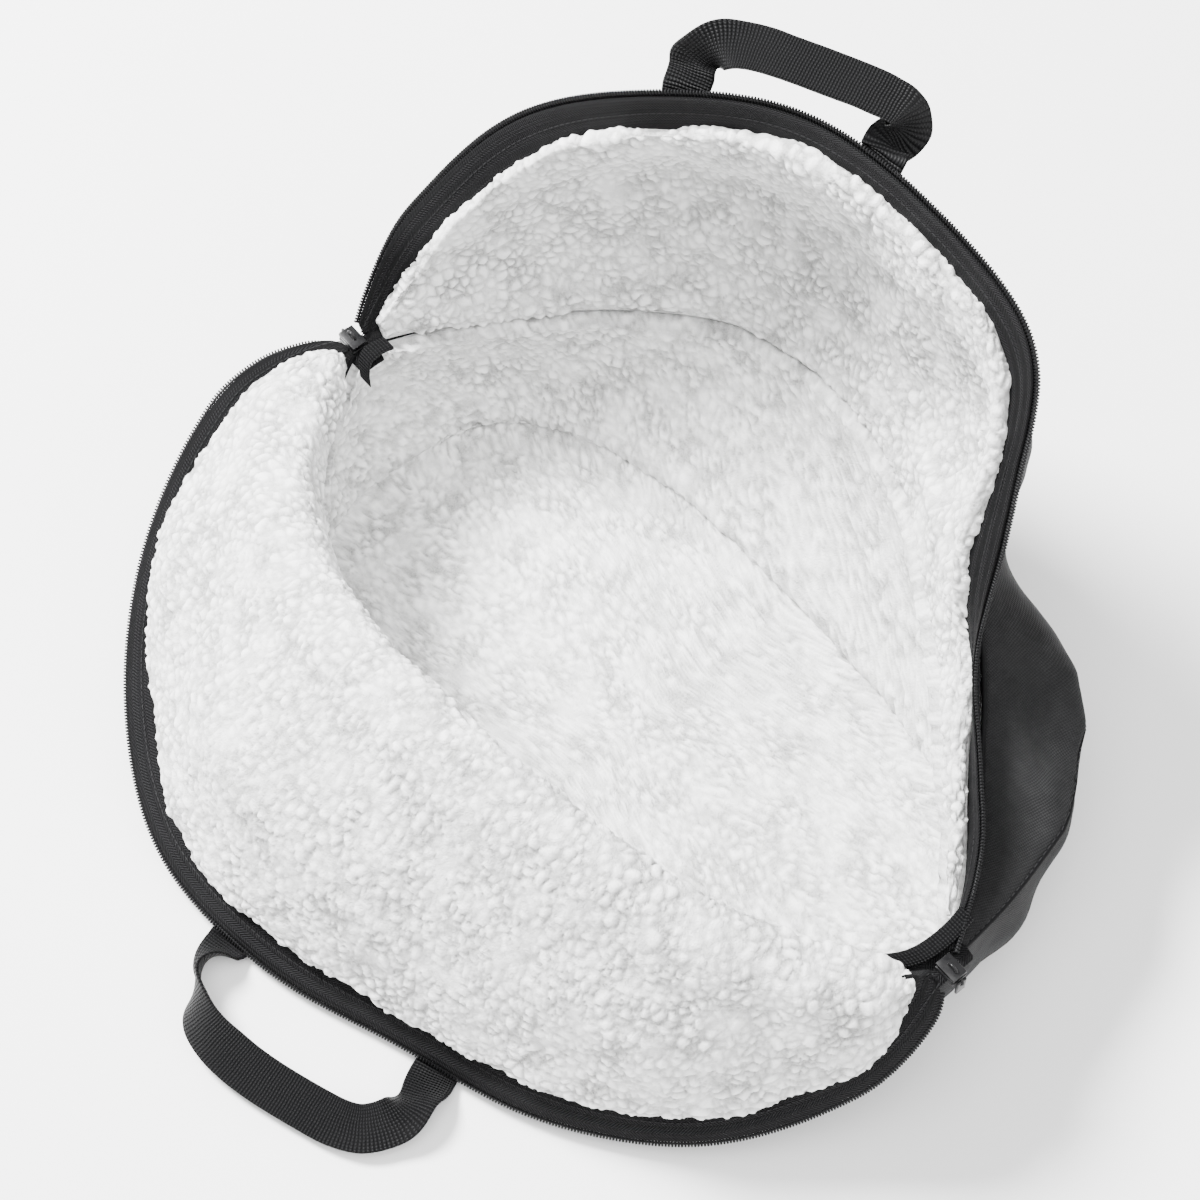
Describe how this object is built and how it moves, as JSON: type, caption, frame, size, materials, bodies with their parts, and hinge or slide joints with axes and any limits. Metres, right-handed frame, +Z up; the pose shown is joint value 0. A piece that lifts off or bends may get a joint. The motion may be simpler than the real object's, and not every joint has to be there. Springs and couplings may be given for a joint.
{
  "type": "helmet bag",
  "caption": "Soft helmet bag lying open: a flat-bottomed nylon tray with two half-moon panels, thick fleece lining, a zip round the rim and webbing carrying handles.",
  "frame": {"origin": "middle of the tray's flat underside, where the bag rests", "axes": "+X along the bag from the left zip end to the right zip end, +Y towards the standing far panel, +Z up"},
  "size_m": [0.5056, 0.5108, 0.3289],
  "materials": {
    "nylon": "matte",
    "fleece": "matte",
    "tape": "matte",
    "webbing": "satin",
    "teeth": "satin",
    "enamel": "gloss"
  },
  "bodies": {
    "root": {"outer_base": "nylon", "lining_base": "fleece", "outer_near_panel": "nylon", "near_zip_strip": "nylon", "lining_near_panel": "fleece", "near_zip_tape": "tape", "near_zip_coil": "teeth", "near_handle": "webbing", "outer_far_panel": "nylon", "far_zip_strip": "nylon", "lining_far_panel": "fleece", "far_zip_tape": "tape", "far_zip_coil": "teeth", "far_handle": "webbing", "slider_left": "enamel", "pull_left": "enamel", "end_tab_left": "webbing", "slider_right": "enamel", "pull_right": "enamel", "end_tab_right": "webbing"}
  },
  "joints": []
}
